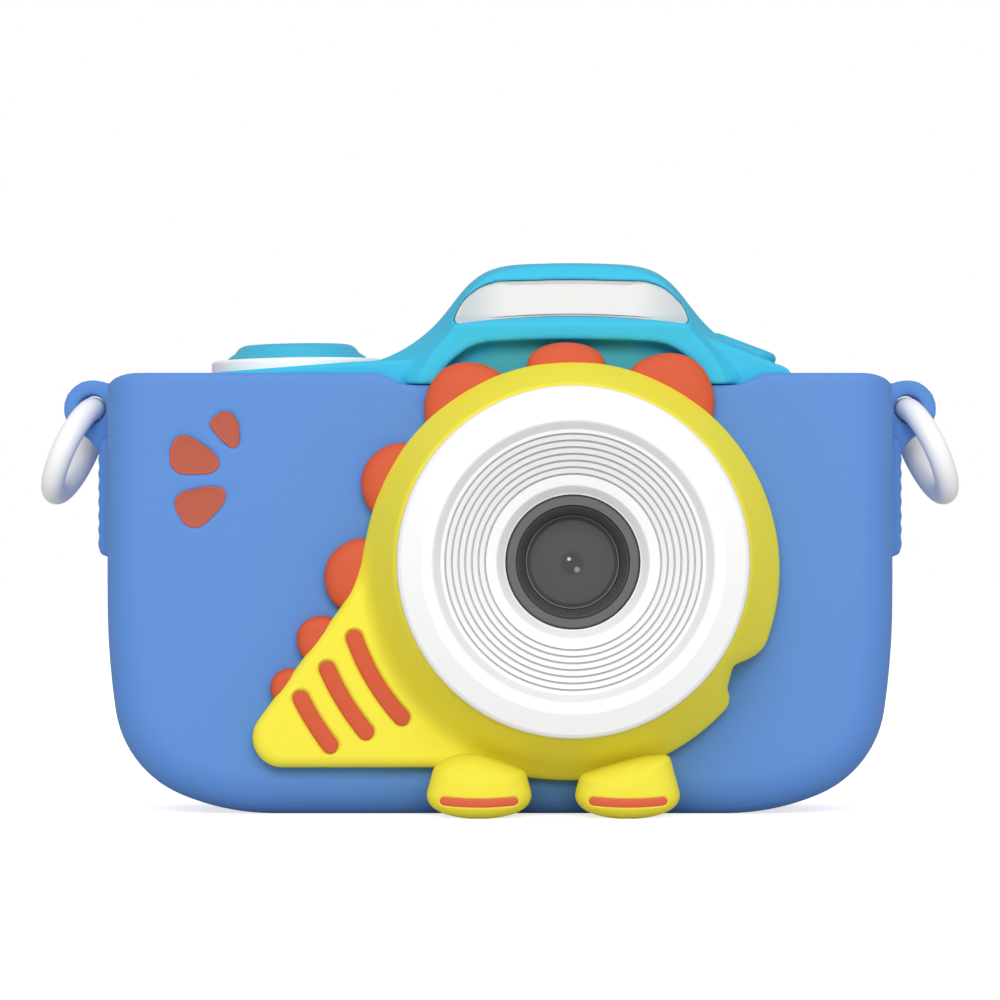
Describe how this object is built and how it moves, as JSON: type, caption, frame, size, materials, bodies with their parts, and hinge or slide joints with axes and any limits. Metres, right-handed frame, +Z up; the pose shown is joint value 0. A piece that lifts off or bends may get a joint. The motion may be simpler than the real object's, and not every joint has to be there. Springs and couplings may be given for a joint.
{
  "type": "toy camera",
  "caption": "Children's digital camera in a silicone sleeve with a dinosaur curled round its lens; pressing buttons, swinging strap rings and a port flap.",
  "frame": {"origin": "middle of the footprint, on the ground under the sleeve", "axes": "+X to the right seen from the front, -Y out of the lens, +Z up"},
  "size_m": [0.1136, 0.046, 0.0675],
  "materials": {
    "blue_silicone": "soft matt silicone, sky blue",
    "yellow_silicone": "soft matt silicone, lemon yellow",
    "orange_silicone": "soft matt silicone, coral orange",
    "cyan_shell": "satin moulded plastic, cyan",
    "cyan_key": "satin moulded plastic, cyan",
    "white_shell": "satin moulded plastic, white",
    "white_gloss": "smooth moulded plastic, white",
    "frosted_plastic": "frosted translucent diffuser",
    "led_resin": "clear resin",
    "circuit_board": "green solder mask on glass laminate",
    "wire_jacket": "insulated copper wire",
    "dark_plastic": "dark grey satin plastic",
    "black_plastic": "black moulded plastic",
    "black_rubber": "black rubber",
    "cover_glass": "clear flat glass with polished bevel",
    "lens_glass": "coated lens glass",
    "screen_glass": "dark tinted screen window",
    "lcd_glass": "display module glass, off",
    "chip_ceramic": "sensor package",
    "chip_plastic": "moulded chip packages",
    "ribbon_film": "amber film ribbon",
    "switch_body": "stamped steel can with black plunger",
    "socket_steel": "stamped steel",
    "battery_foil": "laminated pouch foil",
    "foam_pad": "closed-cell foam",
    "speaker_metal": "painted steel basket",
    "screw_steel": "zinc plated steel"
  },
  "bodies": {
    "camera": {"silicone_sleeve": "blue_silicone", "dino_body": "yellow_silicone", "foot_left": "yellow_silicone", "foot_right": "yellow_silicone", "dino_spines": "orange_silicone", "tail_stripes": "orange_silicone", "toe_stripes": "orange_silicone", "leaf_marks": "orange_silicone", "top_cover": "cyan_shell", "front_shell": "white_shell", "rear_shell": "white_shell", "shutter_bezel": "white_gloss", "lens_barrel": "white_gloss", "flash_window": "frosted_plastic", "flash_reflector": "white_gloss", "flash_led": "led_resin", "flash_board": "circuit_board", "lens_inner_ring": "dark_plastic", "lens_cover_glass": "cover_glass", "lens_holder": "black_plastic", "lens_elements": "lens_glass", "lens_spacer": "black_plastic", "image_sensor": "chip_ceramic", "sensor_board": "circuit_board", "ribbon_cables": "ribbon_film", "main_board": "circuit_board", "board_chips": "chip_plastic", "top_board": "circuit_board", "board_header": "black_plastic", "tact_switches": "switch_body", "top_switches": "switch_body", "usb_socket": "socket_steel", "card_socket": "socket_steel", "memory_card": "black_plastic", "battery": "battery_foil", "battery_pad": "foam_pad", "battery_lead": "wire_jacket", "speaker": "speaker_metal", "thin_leads": "wire_jacket", "microphone": "socket_steel", "mic_boot": "black_rubber", "lcd_panel": "lcd_glass", "lcd_frame": "socket_steel", "screen_window": "screen_glass", "status_light": "led_resin", "shell_screws": "screw_steel", "board_screws": "screw_steel", "cover_screws": "screw_steel"},
    "shutter_button": {"shutter_button": "cyan_key"},
    "power_button": {"power_button": "cyan_key"},
    "port_flap": {"port_flap": "blue_silicone"},
    "strap_ring_left": {"strap_ring_left": "white_gloss"},
    "strap_ring_right": {"strap_ring_right": "white_gloss"},
    "key_up": {"key_up": "cyan_key"},
    "key_down": {"key_down": "cyan_key"},
    "key_left": {"key_left": "cyan_key"},
    "key_right": {"key_right": "cyan_key"},
    "key_ok": {"key_ok": "cyan_key"},
    "key_menu": {"key_menu": "cyan_key"},
    "key_play": {"key_play": "cyan_key"}
  },
  "joints": [
    {"name": "shutter_press", "type": "slide", "parent": "camera", "child": "shutter_button", "axis": [0.0175, 0, -0.9998], "range_m": [0, 0.001], "stiffness_N_per_m": 350, "springref_m": -0.0008},
    {"name": "power_press", "type": "slide", "parent": "camera", "child": "power_button", "axis": [-0.3502, 0, -0.9367], "range_m": [0, 0.0008], "stiffness_N_per_m": 350, "springref_m": -0.0008},
    {"name": "key_up_press", "type": "slide", "parent": "camera", "child": "key_up", "axis": [0, -1, 0], "range_m": [0, 0.0006], "stiffness_N_per_m": 350, "springref_m": -0.0006},
    {"name": "key_down_press", "type": "slide", "parent": "camera", "child": "key_down", "axis": [0, -1, 0], "range_m": [0, 0.0006], "stiffness_N_per_m": 350, "springref_m": -0.0006},
    {"name": "key_left_press", "type": "slide", "parent": "camera", "child": "key_left", "axis": [0, -1, 0], "range_m": [0, 0.0006], "stiffness_N_per_m": 350, "springref_m": -0.0006},
    {"name": "key_right_press", "type": "slide", "parent": "camera", "child": "key_right", "axis": [0, -1, 0], "range_m": [0, 0.0006], "stiffness_N_per_m": 350, "springref_m": -0.0006},
    {"name": "key_ok_press", "type": "slide", "parent": "camera", "child": "key_ok", "axis": [0, -1, 0], "range_m": [0, 0.0006], "stiffness_N_per_m": 350, "springref_m": -0.0006},
    {"name": "key_menu_press", "type": "slide", "parent": "camera", "child": "key_menu", "axis": [0, -1, 0], "range_m": [0, 0.0006], "stiffness_N_per_m": 350, "springref_m": -0.0006},
    {"name": "key_play_press", "type": "slide", "parent": "camera", "child": "key_play", "axis": [0, -1, 0], "range_m": [0, 0.0006], "stiffness_N_per_m": 350, "springref_m": -0.0006},
    {"name": "ring_left_swing", "type": "hinge", "parent": "camera", "child": "strap_ring_left", "pos_m": [-0.0504, 0.008, 0.0497], "axis": [0.1736, 0.9848, 0], "range_deg": [-12, 130]},
    {"name": "ring_right_swing", "type": "hinge", "parent": "camera", "child": "strap_ring_right", "pos_m": [0.0504, 0.008, 0.0497], "axis": [0.1736, -0.9848, 0], "range_deg": [-12, 130]},
    {"name": "port_flap_swing", "type": "hinge", "parent": "camera", "child": "port_flap", "pos_m": [0.04645, 0.0105, 0.0152], "axis": [0, 1, 0], "range_deg": [0, 85]}
  ]
}
